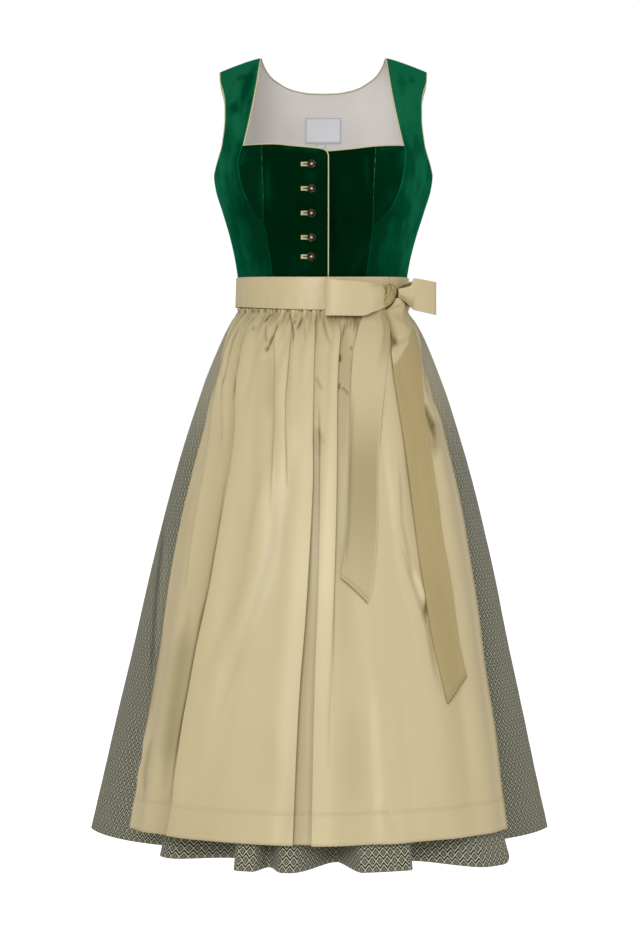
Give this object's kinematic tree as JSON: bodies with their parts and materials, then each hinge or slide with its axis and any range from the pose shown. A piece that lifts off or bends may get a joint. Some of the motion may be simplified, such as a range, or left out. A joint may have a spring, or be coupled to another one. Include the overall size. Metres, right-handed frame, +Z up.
{
  "type": "dirndl dress",
  "caption": "Sleeveless dress with a fitted velvet bodice, flared gathered skirt and an apron tied in a bow, standing open as if worn.",
  "frame": {"origin": "midway between the tops of the two shoulder straps, where the wearer's shoulders carry the dress", "axes": "+Z up; the front faces -Y; +X towards the wearer's left side"},
  "size_m": [0.6638, 0.6134, 1.1268],
  "materials": {
    "velvet_right_front": "dark green cotton velvet",
    "velvet_left_front": "dark green cotton velvet",
    "velvet_cup_right": "dark green cotton velvet",
    "velvet_cup_left": "dark green cotton velvet",
    "velvet_side_right": "green cotton velvet",
    "velvet_side_left": "green cotton velvet",
    "velvet_back": "green cotton velvet",
    "lining": "plain cotton lining",
    "label": "blank woven label",
    "tab": "blank woven tab",
    "piping": "gold satin piping",
    "button": "antique bronze",
    "jacquard_front": "grey green zigzag jacquard",
    "jacquard_back": "grey green zigzag jacquard",
    "apron_satin": "champagne satin",
    "band_satin": "champagne satin",
    "loop_left_satin": "champagne satin",
    "loop_right_satin": "champagne satin",
    "knot_satin": "champagne satin",
    "tail_left_satin": "champagne satin",
    "tail_right_satin": "champagne satin"
  },
  "bodies": {
    "root": {"centre_front_right": "velvet_right_front", "centre_front_left": "velvet_left_front", "cup_right": "velvet_cup_right", "cup_left": "velvet_cup_left", "side_front_right": "velvet_side_right", "side_front_left": "velvet_side_left", "bodice_back": "velvet_back", "back_lining": "lining", "neck_label": "label", "size_tab": "tab", "piping_neckline": "piping", "piping_armhole_left": "piping", "piping_armhole_right": "piping", "button_1": "button", "button_2": "button", "button_3": "button", "button_4": "button", "button_5": "button", "skirt_front": "jacquard_front", "skirt_back": "jacquard_back", "apron": "apron_satin", "apron_band": "band_satin", "bow_loop_left": "loop_left_satin", "bow_loop_right": "loop_right_satin", "bow_knot": "knot_satin", "bow_tail_left": "tail_left_satin", "bow_tail_right": "tail_right_satin"}
  },
  "joints": []
}
